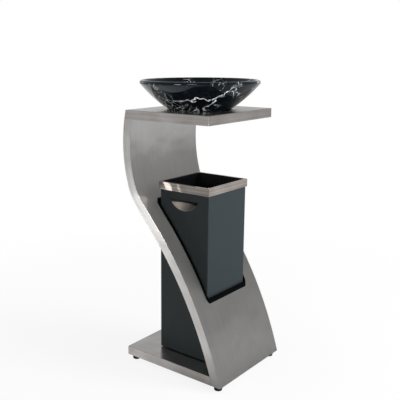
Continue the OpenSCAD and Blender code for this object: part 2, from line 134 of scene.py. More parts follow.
# %% Brushed steel
def brushed_steel(name, light, dark, rough, coordinates="grain"):
    """Stainless steel with its brush lines along U of the grain map, or along one object axis."""
    material, tree = new_material(name)
    if coordinates == "grain":
        place = add(tree, "UVMap", uv_map="grain")
        tangent = add(tree, "Tangent", direction_type="UV_MAP", uv_map="grain")
    else:
        place = add(tree, "TexCoord").outputs["Object"]
        tangent = add(tree, "Tangent", direction_type="RADIAL", axis="Z")
    # The real lines are about 0.2 mm wide. These are 0.8 mm and 5 mm, so that they show at this size.
    fine = add(tree, "Mapping", {"Vector": place, "Scale": (9, 1200, 9)})
    fine = add(tree, "TexNoise", {"Vector": fine, "Scale": 1.0, "Detail": 2.0})
    broad = add(tree, "Mapping", {"Vector": place, "Scale": (2.5, 190, 2.5)})
    broad = add(tree, "TexNoise", {"Vector": broad, "Scale": 1.0, "Detail": 3.0})
    both = add(tree, "Math", {0: fine, 1: broad}, operation="ADD")
    # A brush that is pressed unevenly leaves clouds of tone, about 80 mm across.
    cloud = add(tree, "TexNoise", {"Vector": place, "Scale": 13.0, "Detail": 2.0})
    tone = add(tree, "Math", {0: both, 1: cloud}, operation="ADD")
    tone = add(tree, "MapRange", {0: tone, 1: 1.15, 2: 1.85, 3: 0.0, 4: 1.0})
    tones = {FACTOR: tone, FROM_COLOUR: hex_colour(dark), TO_COLOUR: hex_colour(light)}
    roughness = add(tree, "MapRange", {0: both, 1: 0.7, 2: 1.3, 3: rough - 0.02, 4: rough + 0.03})
    # The sheet's own waves are about 110 mm long, and the lines lie on them.
    wave = add(tree, "TexNoise", {"Vector": place, "Scale": 9.0, "Detail": 2.0})
    wave = add(tree, "Bump", {"Strength": 1.0, "Distance": 0.005, "Height": wave})
    lines = {"Strength": 0.12, "Distance": 0.0002, "Height": fine, "Normal": wave}
    surface = {
        "Base Color": add(tree, "Mix", tones, data_type="RGBA"),
        "Metallic": 1.0,
        "Roughness": roughness,
        "Anisotropic": 0.85,
        "Anisotropic Rotation": 0.25,
        "Tangent": tangent,
        "Normal": add(tree, "Bump", lines),
    }
    add(tree, "OutputMaterial", {"Surface": add(tree, "BsdfPrincipled", surface)})
    return material


# %% Steel finishes
# The panel's front and rear sheet: an even, neutral brush that blurs the room to soft clouds.
STEEL = brushed_steel("brushed_stainless_sheet", "#CFCECC", "#C3C2C0", rough=0.42)
# The shelf's and the base's top: a finer brush, in which the bowl and the bin are dimly mirrored.
SHELF_STEEL = brushed_steel("brushed_stainless_shelf", "#CFCECC", "#C3C2C0", rough=0.22)
# The panel's edge strips, linished on a belt: brighter, with strong streaks along the strip.
BAND_STEEL = brushed_steel("linished_stainless_band", "#DEDCD9", "#BAB8B5", rough=0.40)
# The folded sides of the shelf and the base, linished too: a warmer, streakier grey.
EDGE_STEEL = brushed_steel("linished_stainless_edge", "#CFCAC7", "#A8A29F", rough=0.34)
# The bin's collar: nearly polished, so that it shows sharp light and dark patches of the room.
COLLAR_STEEL = brushed_steel("polished_stainless_strip", "#C2BAB3", "#938B84", rough=0.10)
# The pressed handle cups: warm and dull, with no clear reflection.
CUP_STEEL = brushed_steel("pressed_stainless", "#B4ABA3", "#9C948C", rough=0.68)
# Linings and plates that keep their CAD mesh, which has no grain map: a plain grey in half shade.
INNER_STEEL = brushed_steel("brushed_stainless_inside", "#B4B2AF", "#9C9A96", 0.36, coordinates="object")
print("nodes in the sheet steel:", len(STEEL.node_tree.nodes))

# %% [markdown]
# ## Charcoal powder coat
#
# Powder coat is a baked plastic skin on steel. It is satin rather than shiny, and its surface has a faint
# orange peel: soft dimples about 2 mm across. They are too shallow to model, so a bump gives them. A second,
# much larger noise shifts tone and gloss a little, so that no wall is quite even.

# %% Powder coat
def powder_coat(name, light, dark):
    """A baked satin skin with orange peel, between two close tones."""
    material, tree = new_material(name)
    place = add(tree, "TexCoord").outputs["Object"]
    # Dimples of 2 mm, and clouds of tone and gloss of about 70 mm.
    peel = add(tree, "TexNoise", {"Vector": place, "Scale": 500.0, "Detail": 1.0})
    cloud = add(tree, "TexNoise", {"Vector": place, "Scale": 14.0, "Detail": 3.0})
    tone = add(tree, "Math", {0: peel, 1: cloud}, operation="ADD")
    tone = add(tree, "MapRange", {0: tone, 1: 0.7, 2: 1.3, 3: 0.0, 4: 1.0})
    tones = {FACTOR: tone, FROM_COLOUR: hex_colour(dark), TO_COLOUR: hex_colour(light)}
    surface = {
        "Base Color": add(tree, "Mix", tones, data_type="RGBA"),
        "Roughness": add(tree, "MapRange", {0: cloud, 1: 0.3, 2: 0.7, 3: 0.44, 4: 0.52}),
        "Specular IOR Level": 0.2,
        "Normal": add(tree, "Bump", {"Strength": 0.10, "Distance": 0.0004, "Height": peel}),
    }
    add(tree, "OutputMaterial", {"Surface": add(tree, "BsdfPrincipled", surface)})
    return material


# The bin's outside: a cool dark grey with a soft shine and no sharp image in it.
CHARCOAL = powder_coat("charcoal_powder_coat", "#394144", "#343C3F")
# Painted shade for the bin's inside, the collar's inner fold and the handles' undercut:
# a near black that stands in for the deep shade there.
PAINTED_SHADE_BLACK = powder_coat("painted_shade_black_inside", "#0D1011", "#090B0C")
print("powder coats:", CHARCOAL.name, PAINTED_SHADE_BLACK.name)

# %% [markdown]
# ## Veins in stone
#
# Stone is solid, so its pattern is a volume that the bowl cuts through, and Object coordinates give that for
# nothing. White mineral fills the cracks of the rock. The walls between Voronoi cells branch like cracks, and
# noise that bends the coordinates first makes them ragged. The few long veins are bent planes: the distance
# from a plane, kept only where it is near zero.

# %% Vein helpers
def line_where(tree, distance, half_width):
    """White where a distance is near zero, with soft edges."""
    away = add(tree, "Math", {0: distance}, operation="ABSOLUTE")
    return add(tree, "MapRange", {0: away, 1: 0.5 * half_width, 2: half_width, 3: 1.0, 4: 0.0})


def vein_net(tree, place, scale, half_width):
    """Lines along the walls of cells, with the scale in cells per metre."""
    cells = add(tree, "TexVoronoi", {"Vector": place, "Scale": scale}, feature="DISTANCE_TO_EDGE")
    return line_where(tree, cells, half_width * scale)


def plane_vein(tree, place, point, square, half_width):
    """A line along the plane through a point and square to a direction."""
    away = add(tree, "VectorMath", {0: place, 1: point}, operation="SUBTRACT")
    height = {0: away, 1: Vector(square).normalized()}
    return line_where(tree, add(tree, "VectorMath", height, operation="DOT_PRODUCT"), half_width)


def near(tree, place, point, reach):
    """One around a point, and zero from a reach on."""
    away = add(tree, "VectorMath", {0: place, 1: point}, operation="DISTANCE")
    return add(tree, "MapRange", {0: away, 1: 0.6 * reach, 2: reach, 3: 1.0, 4: 0.0})


def bend(tree, place, sway, reach):
    """Places that a sway moves about, by up to half a reach each way."""
    push = add(tree, "VectorMath", {0: sway, "Scale": reach}, operation="SCALE")
    return add(tree, "VectorMath", {0: place, 1: push}, operation="ADD")


# %% [markdown]
# ## Polished black marble
#
# Each set of veins is multiplied by a mask that says where it may show. A coarse net and a hair-thin net come
# and go with a noise, a fine crackle fills one spot low on the bowl's left, and four long veins reach a few
# centimetres from their middles. The brightest of them wins, which the maximum gives. The ground isn't plain
# black: a finer noise mottles it with a blue grey. Polish leaves hardly any roughness.

# %% Marble
# Half widths in metres: real veins of 1 to 2 mm.
LONG_VEIN, COARSE_VEIN, HAIR_VEIN, CRACKLE_VEIN = 0.0011, 0.0011, 0.0006, 0.0005
CRACKLE_SPOT, CRACKLE_REACH = (-0.109, 0.030, 0.752), 0.055
# Each long vein's middle, the direction square to its plane, and its reach.
LONG_VEINS = (
    ((-0.088, -0.055, 0.7690), (-0.05, 0.06, 1.0), 0.070),
    ((-0.055, -0.090, 0.7730), (-0.50, 0.62, 1.0), 0.065),
    ((0.080, 0.060, 0.7900), (0.60, -0.60, 1.0), 0.060),
    ((0.030, 0.110, 0.7850), (1.00, -1.20, 0.3), 0.050),
)


def marble(name):
    """Nearly black stone with white veins, as a volume."""
    material, tree = new_material(name)
    place = add(tree, "TexCoord").outputs["Object"]
    # Cracks wander in bends of about 45 mm, with smaller and smaller kinks in them.
    sway = add(tree, "TexNoise", {"Vector": place, "Scale": 22.0, "Detail": 6.0, "Roughness": 0.62})
    sway = add(tree, "VectorMath", {0: sway.outputs["Color"], 1: (0.5, 0.5, 0.5)}, operation="SUBTRACT")
    ragged = bend(tree, place, sway, reach=0.09)
    bent = bend(tree, place, sway, reach=0.045)
    # The nets come and go in patches of about 50 mm.
    patch = {"Vector": place, "W": 10.2, "Scale": 19.0, "Detail": 2.0}
    patch = add(tree, "TexNoise", patch, noise_dimensions="4D")
    strong = add(tree, "MapRange", {0: patch, 1: 0.53, 2: 0.60, 3: 0.0, 4: 0.9})
    weak = add(tree, "MapRange", {0: patch, 1: 0.55, 2: 0.64, 3: 0.0, 4: 0.6})
    crackled = near(tree, place, CRACKLE_SPOT, CRACKLE_REACH)
    # Cells of about 90, 30 and 20 mm.
    veins = [
        (vein_net(tree, ragged, 11.0, COARSE_VEIN), strong),
        (vein_net(tree, ragged, 34.0, HAIR_VEIN), weak),
        (vein_net(tree, bent, 50.0, CRACKLE_VEIN), crackled),
    ]
    for point, square, reach in LONG_VEINS:
        veins.append((plane_vein(tree, bent, point, square, LONG_VEIN), near(tree, place, point, reach)))
    white = 0.0
    for vein, mask in veins:
        vein = add(tree, "Math", {0: vein, 1: mask}, operation="MULTIPLY")
        white = add(tree, "Math", {0: white, 1: vein}, operation="MAXIMUM")
    # Mottling of about 20 mm.
    mottle = add(tree, "TexNoise", {"Vector": ragged, "Scale": 45.0, "Detail": 6.0, "Roughness": 0.7})
    mottle = add(tree, "MapRange", {0: mottle, 1: 0.52, 2: 0.78, 3: 0.0, 4: 1.0})
    ground = {FACTOR: mottle, FROM_COLOUR: hex_colour("#060A0E"), TO_COLOUR: hex_colour("#1A282F")}
    ground = add(tree, "Mix", ground, data_type="RGBA")
    veined = {FACTOR: white, FROM_COLOUR: ground, TO_COLOUR: hex_colour("#F2F5F5")}
    surface = {
        "Base Color": add(tree, "Mix", veined, data_type="RGBA"),
        "Roughness": 0.06,
        "Specular Tint": hex_colour("#BFD6E0"),
    }
    add(tree, "OutputMaterial", {"Surface": add(tree, "BsdfPrincipled", surface)})
    return material


# The bowl: a wet-looking black with crisp white cracks and cool, sharp reflections.
MARBLE = marble("polished_black_marble")
print("marble nodes:", len(MARBLE.node_tree.nodes))

# %% [markdown]
# ## Rubber and plated steel
#
# Moulded rubber is nearly black, and its mould leaves a fine dull texture. Screws, nuts and the closing
# plates are zinc plated: a pale metal with crystals a few millimetres across, which a Voronoi pattern gives.
# All of them are small in the picture, so one pattern drives tone and gloss together.

# %% Rubber and plating
def rubber(name, light, dark, shine):
    """Dull rubber with the mould's grit in its tone and its gloss."""
    material, tree = new_material(name)
    place = add(tree, "TexCoord").outputs["Object"]
    # The real grit is some 0.3 mm. This one is 1.1 mm, the finest that still shows.
    grit = add(tree, "TexNoise", {"Vector": place, "Scale": 900.0, "Detail": 2.0})
    tones = {FACTOR: grit, FROM_COLOUR: hex_colour(dark), TO_COLOUR: hex_colour(light)}
    surface = {
        "Base Color": add(tree, "Mix", tones, data_type="RGBA"),
        "Roughness": add(tree, "MapRange", {0: grit, 1: 0.3, 2: 0.7, 3: 0.55, 4: 0.72}),
        "Specular IOR Level": shine,
        "Normal": add(tree, "Bump", {"Strength": 0.2, "Distance": 0.0002, "Height": grit}),
    }
    add(tree, "OutputMaterial", {"Surface": add(tree, "BsdfPrincipled", surface)})
    return material


def zinc_plating(name):
    """Pale plated steel, whose crystals differ in tone and gloss."""
    material, tree = new_material(name)
    place = add(tree, "TexCoord").outputs["Object"]
    # Crystals of about 3 mm. Each has a colour of its own, whose red and green serve as two numbers.
    crystal = add(tree, "TexVoronoi", {"Vector": place, "Scale": 300.0})
    shades = add(tree, "SeparateColor", {0: crystal.outputs["Color"]})
    tones = {FACTOR: shades.outputs[0], FROM_COLOUR: hex_colour("#A9ADB0"), TO_COLOUR: hex_colour("#C0C4C6")}
    surface = {
        "Base Color": add(tree, "Mix", tones, data_type="RGBA"),
        "Metallic": 1.0,
        "Roughness": add(tree, "MapRange", {0: shades.outputs[1], 1: 0.0, 2: 1.0, 3: 0.34, 4: 0.46}),
    }
    add(tree, "OutputMaterial", {"Surface": add(tree, "BsdfPrincipled", surface)})
    return material


# Feet, bumpers and pads: a warm black with a faint dull shine.
RUBBER = rubber("moulded_black_rubber", "#34312F", "#242221", shine=0.35)
# The edging round the opening: near black and almost without shine, so it reads as a black line.
EDGING = rubber("near_black_edging", "#050505", "#020202", shine=0.06)
# Fasteners and plates below: a pale blue grey that sparkles a little.
PLATED = zinc_plating("zinc_plated_steel")
print("materials:", len(bpy.data.materials))

# %% [markdown]
# ## From bmesh to piece
#
# Every piece ends the same way. Its faces are shaded smooth except across sharp edges, it gets its materials,
# it rides on the body that carries it, and it stands for the CAD solid that it replaces. A live Bevel
# modifier breaks the sharp edges, because no real sheet has an edge without a thin bright line. Smooth
# shading next to a bevel would make a flat face look padded, so a Weighted Normal modifier lets the large
# faces decide. The grain map is laid before that, while the piece is still a bmesh.

# %% Helpers that finish a piece
SMOOTH_BELOW, BEVEL_ABOVE = math.radians(35), math.radians(40)


def make_piece(name, bm, materials, body, node, edge=0.0):
    """Turns a bmesh into a piece that rides on a body and stands for a CAD solid."""
    mesh = bpy.data.meshes.new(name)
    bm.to_mesh(mesh)
    bm.free()
    for material in materials:
        mesh.materials.append(material)
    mesh.shade_smooth()
    mesh.set_sharp_from_angle(angle=SMOOTH_BELOW)
    piece = bpy.data.objects.new(name, mesh)
    scene.collection.objects.link(piece)
    if edge:
        bevel = piece.modifiers.new("edge", "BEVEL")
        bevel.width = edge
        bevel.segments = 2
        bevel.limit_method = "ANGLE"
        bevel.angle_limit = BEVEL_ABOVE
    flat = piece.modifiers.new("flat faces", "WEIGHTED_NORMAL")
    flat.keep_sharp = True
    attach(piece, body)
    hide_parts(node)
    print(name, "faces:", len(mesh.polygons))


def lay_grain(bm, grain_at):
    """Fills the grain map. grain_at gives U along the lines and V across them, in metres."""
    uv = bm.loops.layers.uv.new("grain")
    for face in bm.faces:
        for loop in face.loops:
            loop[uv].uv = grain_at(face, loop.vert)


def along_face(face, vert, direction):
    """U along a direction as far as a flat face allows, and V square to it."""
    u = direction - face.normal * direction.dot(face.normal)
    if u.length < 0.5:
        u = Vector((1.0, 0.0, 0.0))
    u.normalize()
    return vert.co.dot(u), vert.co.dot(face.normal.cross(u))


# %% [markdown]
# ## The panel's curve
#
# Seen from the side, the panel is a chain that a sheet roller can make: a long sweep that leans further and
# further back, a short straight, a tight bend the other way, and a wider sweep that ends under the shelf.
# It could be drawn as a free curve, but true arcs keep the reflections calm. Each starts where the one before
# it ends and in the same direction, so the centres follow from the radii and the leans. All of them are
# measured on the rear face, and the front face lies 26 mm in front.

# %% Chain of arcs
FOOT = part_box("panel_left_edge")[0]
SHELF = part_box("shelf_tray")[0]
THICK, SHEET = 0.026, 0.0015
LOW_R, BEND_R, TOP_R, STRAIGHT = 1.075, 0.156, 0.407, 0.076
FOOT_LEAN, MID_LEAN, TOP_LEAN = math.radians(15.9), math.radians(40.5), math.radians(16.5)


def ahead(lean):
    """The direction square to the panel, towards its front, where it leans back by this angle."""
    return Vector((0, -math.cos(lean), math.sin(lean)))


def up(lean):
    """The direction along the panel."""
    return Vector((0, math.sin(lean), math.cos(lean)))


low_centre = Vector((0, FOOT.y, FOOT.z)) - ahead(FOOT_LEAN) * (LOW_R + THICK)
straight_start = low_centre + ahead(MID_LEAN) * LOW_R
straight_end = straight_start + up(MID_LEAN) * STRAIGHT
bend_centre = straight_end + ahead(MID_LEAN) * BEND_R
top_centre = bend_centre + ahead(TOP_LEAN) * (TOP_R - BEND_R)
print("centres:", [tuple(round(1000 * c) for c in v[1:]) for v in (low_centre, bend_centre, top_centre)])

# %% [markdown]
# ## A strip that follows the curve
#
# A rectangle is drawn across the panel's foot and spun up the chain: bmesh's spin turns it about each
# centre in turn, and the straight is a spin without a turn. It starts below the base's top and ends above
# the shelf's underside, and two bisecting planes then trim it level. One function makes all four sheets, and
# they share their stations, so that they meet without gaps.

# %% Sweep a strip
# How far the strip runs on at either end before it is trimmed.
SPARE_LOW, SPARE_HIGH = math.radians(3), math.radians(14)


def slice_off(bm, faces, point, square):
    """Cuts faces along a plane, drops what lies beyond it, and returns the new edges."""
    verts = dict.fromkeys(vert for face in faces for vert in face.verts)
    edges = dict.fromkeys(edge for face in faces for edge in face.edges)
    cut = bmesh.ops.bisect_plane(
        bm, geom=[*verts, *edges, *faces], dist=1e-7, plane_co=point, plane_no=square, clear_outer=True
    )
    return [edge for edge in cut["geom_cut"] if isinstance(edge, bmesh.types.BMEdge)]


def sweep_strip(x0, x1, depth0, depth1):
    """A strip between two widths and two depths ahead of the rear face, and a layer of its depths."""
    bm = bmesh.new()
    depth = bm.verts.layers.float.new("depth")
    start = FOOT_LEAN - SPARE_LOW
    corners = []
    for x, forwards in ((x0, depth0), (x1, depth0), (x1, depth1), (x0, depth1)):
        point = low_centre + ahead(start) * (LOW_R + forwards)
        corner = bm.verts.new((x, point.y, point.z))
        corner[depth] = forwards
        corners.append(corner)
    face = bm.faces.new(corners)
    last = [face, *face.edges, *face.verts]
    still = Vector()
    stretches = (
        (low_centre, start - MID_LEAN, 56, still),
        (low_centre, 0.0, 4, up(MID_LEAN) * (STRAIGHT / 4)),
        (bend_centre, MID_LEAN - TOP_LEAN, 24, still),
        (top_centre, TOP_LEAN + SPARE_HIGH, 36, still),
    )
    for centre, angle, steps, step in stretches:
        made = bmesh.ops.spin(bm, geom=last, cent=centre, axis=(1, 0, 0), angle=angle, steps=steps, dvec=step)
        last = made["geom_last"]
    for level, way in ((FOOT.z, -1), (SHELF.z, 1)):
        rim = slice_off(bm, bm.faces[:], (0, 0, level), (0, 0, way))
        bmesh.ops.contextual_create(bm, geom=rim)
    bmesh.ops.recalc_face_normals(bm, faces=bm.faces)
    return bm, depth


# %% [markdown]
# ## Edge strips
#
# The panel's two sides are bands that look solid. The weld along them is ground flush, which turns the sharp
# corner, the arris, into a small round. Only the long outer edges get it, so they are picked one by one and
# not left to a modifier. The depth that every point has kept tells them from the edges across the band. It is
# also the V of the grain, so the lines follow the curve.

# %% Edge strips
ARRIS, TINY = 0.0012, 1e-6
# A face looks along an axis where its normal's share of that axis is more than this.
FACING = 0.9


def round_off(bm, geom, radius, segments, affect="EDGES"):
    """Bevels edges or corner points to a round."""
    shape = {"offset": radius, "offset_type": "OFFSET", "segments": segments, "profile": 0.5}
    bmesh.ops.bevel(bm, geom=geom, affect=affect, material=-1, **shape)


for name in ("panel_left_edge", "panel_right_edge"):
    low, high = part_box(name)
    bm, depth = sweep_strip(low.x, high.x, 0.0, THICK)
    outer_x = low.x if "left" in name else high.x
    arris = []
    for edge in bm.edges:
        first, second = edge.verts
        outer = abs(first.co.x - outer_x) < TINY and abs(second.co.x - outer_x) < TINY
        lengthwise = abs(first[depth] - second[depth]) < TINY
        corner = len({abs(face.normal.x) > FACING for face in edge.link_faces}) == 2
        if outer and lengthwise and corner:
            arris.append(edge)
    round_off(bm, arris, ARRIS, 3)
    lay_grain(bm, lambda face, vert: (vert.co.z, vert[depth]))
    make_piece(name + "_strip", bm, [BAND_STEEL], "stand", name, edge=0.0005)

# %% [markdown]
# ## The opening
#
# The opening is cut straight down through the leaning panel, so that the upright bin can stand in it. Its
# corners are rounded in plan, and its edge bends in space, which is hard to draw and easy to cut. A rectangle
# whose corner vertices are bevelled, then extruded up, makes the cutter, and a Boolean takes it from the
# front and rear sheets. The cutter is thrown away afterwards.

# %% Cutters
def draw_out(bm, way):
    """Extrudes all the faces into a closed prism."""
    made = bmesh.ops.extrude_face_region(bm, geom=bm.faces[:])
    verts = [part for part in made["geom"] if isinstance(part, bmesh.types.BMVert)]
    bmesh.ops.translate(bm, vec=way, verts=verts)
    bmesh.ops.recalc_face_normals(bm, faces=bm.faces)


def rounded_prism(x, y0, y1, z0, z1, radius):
    """A prism with rounded upright corners, of half width x."""
    bm = bmesh.new()
    corners = [bm.verts.new(point) for point in ((-x, y0, z0), (x, y0, z0), (x, y1, z0), (-x, y1, z0))]
    bm.faces.new(corners)
    round_off(bm, corners, radius, 8, affect="VERTICES")
    draw_out(bm, (0, 0, z1 - z0))
    return bm


def to_object(bm):
    """A plain object for a Boolean."""
    mesh = bpy.data.meshes.new("cutter")
    bm.to_mesh(mesh)
    bm.free()
    cutter = bpy.data.objects.new("cutter", mesh)
    scene.collection.objects.link(cutter)
    return cutter


def cut_out(bm, *cutters):
    """The bmesh with the cutters' volumes taken away."""
    blank = to_object(bm)
    tools = [to_object(cutter) for cutter in cutters]
    for tool in tools:
        cut = blank.modifiers.new("cut", "BOOLEAN")
        cut.operation = "DIFFERENCE"
        cut.solver = "EXACT"
        cut.object = tool
    bpy.context.view_layer.update()
    shaped = blank.evaluated_get(bpy.context.evaluated_depsgraph_get())
    result = bmesh.new()
    result.from_mesh(shaped.to_mesh())
    shaped.to_mesh_clear()
    for thing in (blank, *tools):
        bpy.data.meshes.remove(thing.data)
    return result


# %% Front and rear sheets
OPEN_X = -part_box("opening_left_lining")[1].x
OPEN_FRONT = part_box("opening_lower_lining")[1].y
OPEN_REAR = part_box("opening_upper_lining")[0].y
# The cutter only has to reach past the panel, above and below.
OPEN_CORNER, CUT_LOW, CUT_HIGH = 0.009, 0.05, 0.60
for name, depth0, depth1 in (("panel_front_skin", THICK - SHEET, THICK), ("panel_rear_skin", 0.0, SHEET)):
    low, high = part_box(name)
    cutter = rounded_prism(OPEN_X, OPEN_FRONT, OPEN_REAR, CUT_LOW, CUT_HIGH, OPEN_CORNER)
    bm = cut_out(sweep_strip(low.x, high.x, depth0, depth1)[0], cutter)
    lay_grain(bm, lambda face, vert: (vert.co.z, vert.co.x))
    make_piece(name + "_sheet", bm, [STEEL], "stand", name, edge=0.0004)
print("opening in mm:", round(2000 * OPEN_X), round(1000 * (OPEN_REAR - OPEN_FRONT)))

# %% [markdown]
# ## Shelf and base
#
# Both are shallow boxes folded from one sheet. The shelf's rear wall follows the panel's rear face, and the
# base's front wall leans with the panel that it butts against. A cube gives the block, its upper and lower
# edges are moved to where the CAD solid has them, the open side is deleted, the folds are bevelled, and
# solidify gives the sheet its thickness inwards. The top is brushed and the sides are linished, so the faces
# take one of two finishes by the way they look.

# %% Folded boxes
FOLD, SAME_LEVEL = 0.0012, 1e-4
REARWARDS = Vector((0.0, 1.0, 0.0))


def edge_y(node, top, rear):
    """How far forward or back a CAD solid reaches along its top or bottom edge."""
    low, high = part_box(node)
    level = high.z if top else low.z
    ys = [v.co.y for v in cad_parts[node].data.vertices if abs(v.co.z - level) < SAME_LEVEL]
    return max(ys) if rear else min(ys)


for name, node in (("shelf_box", "shelf_tray"), ("base_box", "base_pan")):
    low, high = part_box(node)
    middle = (low + high) / 2
    bm = bmesh.new()
    bmesh.ops.create_cube(bm, size=1.0)
    bmesh.ops.scale(bm, vec=high - low, verts=bm.verts)
    bmesh.ops.translate(bm, vec=middle, verts=bm.verts)
    for vert in bm.verts:
        vert.co.y = edge_y(node, vert.co.z > middle.z, vert.co.y > middle.y)
    below = [face for face in bm.faces if face.normal.z < -FACING]
    bmesh.ops.delete(bm, geom=below, context="FACES_ONLY")
    folds = [edge for edge in bm.edges if not edge.is_boundary]
    round_off(bm, folds, FOLD, 4)
    bmesh.ops.solidify(bm, geom=bm.faces[:], thickness=SHEET)
    bmesh.ops.recalc_face_normals(bm, faces=bm.faces)
    lay_grain(bm, lambda face, vert: along_face(face, vert, REARWARDS))
    for face in bm.faces:
        face.material_index = 0 if abs(face.normal.z) > FACING else 1
    make_piece(name, bm, [SHELF_STEEL, EDGE_STEEL], "stand", node)

# %% [markdown]
# ## A lathe
#
# The bowl and the feet are round, so their models are turned as on a lathe. A half profile grows from its
# last point, by straight lines and by arcs, which spin draws. The same operator then takes the whole profile
# once round the Z axis. Merging the doubles closes the seam, and the poles where the profile meets the axis.

# %% Lathe helpers
def arc(bm, last, centre, angle, steps):
    """Continues a profile from its last point along an arc in the XZ plane."""
    made = bmesh.ops.spin(bm, geom=[last], cent=centre, axis=(0, -1, 0), angle=angle, steps=steps)
    return next(part for part in made["geom_last"] if isinstance(part, bmesh.types.BMVert))


def line(bm, last, point):
    """Continues a profile along a straight line."""
    vert = bm.verts.new(point)
    bm.edges.new((last, vert))
    return vert


def spin_round(bm, centre, axis, steps):
    """Spins a profile once round an axis and closes it."""
    profile = [*bm.verts, *bm.edges]
    bmesh.ops.spin(bm, geom=profile, cent=centre, axis=axis, angle=math.tau, steps=steps, use_merge=True)
    bmesh.ops.remove_doubles(bm, verts=bm.verts, dist=1e-6)
    bmesh.ops.recalc_face_normals(bm, faces=bm.faces)


# %% [markdown]
# ## The stone bowl
#
# A mason turns such a bowl from one block: a flat foot, a wall that bows outwards a little, a round lip and a
# hollow that is part of a sphere. The wall's arc has to pass through the foot's edge and to touch the lip's
# circle from inside. Its centre is where two circles meet: one about the foot's edge, one about the lip.

# %% Bowl measures
low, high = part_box("stone_bowl")
RIM_R, FOOT_R, LIP_R, WALL_R, HOLLOW_R, BOWL_FLOOR = 0.165, 0.087, 0.0065, 0.400, 0.2145, 0.012
foot_edge = Vector((FOOT_R, 0, low.z))
lip = Vector((RIM_R - LIP_R, 0, high.z - LIP_R))
hollow = Vector((0, 0, low.z + BOWL_FLOOR + HOLLOW_R))
chord = lip - foot_edge
along = (chord.length_squared + WALL_R**2 - (WALL_R - LIP_R) ** 2) / (2 * chord.length)
aside = math.sqrt(WALL_R**2 - along**2)
unit = chord.normalized()
wall_centre = foot_edge + unit * along + Vector((-unit.z, 0, unit.x)) * aside
to_foot = (foot_edge - wall_centre).normalized()
to_lip = (lip - wall_centre).normalized()
from_hollow = (lip - hollow).normalized()
print("wall's centre in mm:", [round(1000 * c) for c in wall_centre])

# %% Stone bowl
# The foot's sharp edge is eased by two small facets, and the wall's arc starts above them.
FOOT_FLAT = Vector((-0.004, 0, 0.0))
FACETS = (Vector((-0.001, 0, 0.0004)), Vector((0.0006, 0, 0.0016)))
EASED = math.radians(0.4)
DOWN = Vector((0, 0, -1))
bm = bmesh.new()
vert = line(bm, bm.verts.new((0, 0, low.z)), foot_edge + FOOT_FLAT)
for facet in FACETS:
    vert = line(bm, vert, foot_edge + facet)
vert = line(bm, vert, wall_centre + Matrix.Rotation(-EASED, 3, "Y") @ to_foot * WALL_R)
vert = arc(bm, vert, wall_centre, to_foot.angle(to_lip) - EASED, 40)
vert = arc(bm, vert, lip, to_lip.angle(-from_hollow), 16)
vert = arc(bm, vert, hollow, -DOWN.angle(from_hollow), 56)
vert.co.x = 0.0
spin_round(bm, (0, 0, 0), (0, 0, 1), 160)
bmesh.ops.translate(bm, vec=(0, (low.y + high.y) / 2, 0), verts=bm.verts)
make_piece("stone_bowl_turned", bm, [MARBLE], "bowl", "stone_bowl")

# %% [markdown]
# ## Feet
#
# Each foot is a short rubber plug with a screw through it: a sole with a broken edge, a wall that tapers as
# a moulded piece must to leave its mould, and a thin rim against the base. The profile is closed round the
# screw's bore, so that the turned foot is a ring without open edges.

# %% Feet
BORE_R, BORE_EASE = 0.0045, 0.0005
TAPER, EASE, STEP, RIM, RIM_EASE = 0.0012, 0.0008, 0.0004, 0.0032, 0.0006
for name in ("front_left_foot", "front_right_foot", "rear_left_foot", "rear_right_foot"):
    low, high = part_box(name)
    rim_r, tall = (high.x - low.x) / 2, high.z - low.z
    profile = (
        (BORE_R, BORE_EASE),
        (BORE_R + BORE_EASE, 0.0),
        (rim_r - TAPER - EASE, 0.0),
        (rim_r - TAPER, EASE),
        (rim_r - STEP, tall - RIM - EASE),
        (rim_r, tall - RIM),
        (rim_r, tall - RIM_EASE),
        (rim_r - RIM_EASE, tall),
    )
    bm = bmesh.new()
    first = bm.verts.new((BORE_R, 0, tall))
    vert = first
    for radius, height in profile:
        vert = line(bm, vert, (radius, 0, height))
    bm.edges.new((vert, first))
    spin_round(bm, (0, 0, 0), (0, 0, 1), 48)
    bmesh.ops.translate(bm, vec=((low.x + high.x) / 2, (low.y + high.y) / 2, low.z), verts=bm.verts)
    make_piece(name + "_turned", bm, [RUBBER], "stand", name)

# %% [markdown]
# ## The bin
#
# The bin's shell is one sheet folded into a tube. A rectangle with bevelled corners is extruded up, its ends
# are deleted, and solidify adds the sheet's thickness on the inside. A half-moon hole in each side takes a
# handle: a disc, cut level above and drawn out sideways, is its cutter. The inside is near black: painted
# shade.

# %% Bin measures
low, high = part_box("bin_shell")
BIN_X, BIN_Y = high.x, (low.y + high.y) / 2
WALL, BIN_CORNER = 0.0012, 0.0025
CUP_W, CUP_H, CUP_TOP, FLANGE = 0.092, 0.0274, 0.492, 0.002
disc_r = ((CUP_W / 2) ** 2 + CUP_H**2) / (2 * CUP_H)
CUP_Z = CUP_TOP - CUP_H + disc_r
CUP_R = disc_r + FLANGE
print("handle's disc in mm: radius", round(1000 * CUP_R, 1), "and centre at height", round(1000 * CUP_Z, 1))


# %% Bin shell
# The cutter reaches this far to either side of a wall's outside.
CUT_REACH = 0.01


def half_moon(x):
    """A prism along X: a disc with its top cut off level."""
    bm = bmesh.new()
    bmesh.ops.create_circle(bm, cap_ends=True, segments=96, radius=CUP_R)
    bmesh.ops.rotate(bm, verts=bm.verts, cent=(0, 0, 0), matrix=Matrix.Rotation(math.pi / 2, 3, "Y"))
    bmesh.ops.translate(bm, verts=bm.verts, vec=(x - CUT_REACH, BIN_Y, CUP_Z))
    slice_off(bm, bm.faces[:], (0, 0, CUP_TOP), (0, 0, 1))
    draw_out(bm, (2 * CUT_REACH, 0, 0))
    return bm


def paint_shade_inside(bm, limit):
    """Gives the second material, the painted shade, to the faces that look towards the bin's middle."""
    for face in bm.faces:
        outwards = face.calc_center_median() - Vector((0.0, BIN_Y, 0.0))
        outwards.z = 0.0
        face.material_index = 1 if outwards.dot(face.normal) < limit else 0


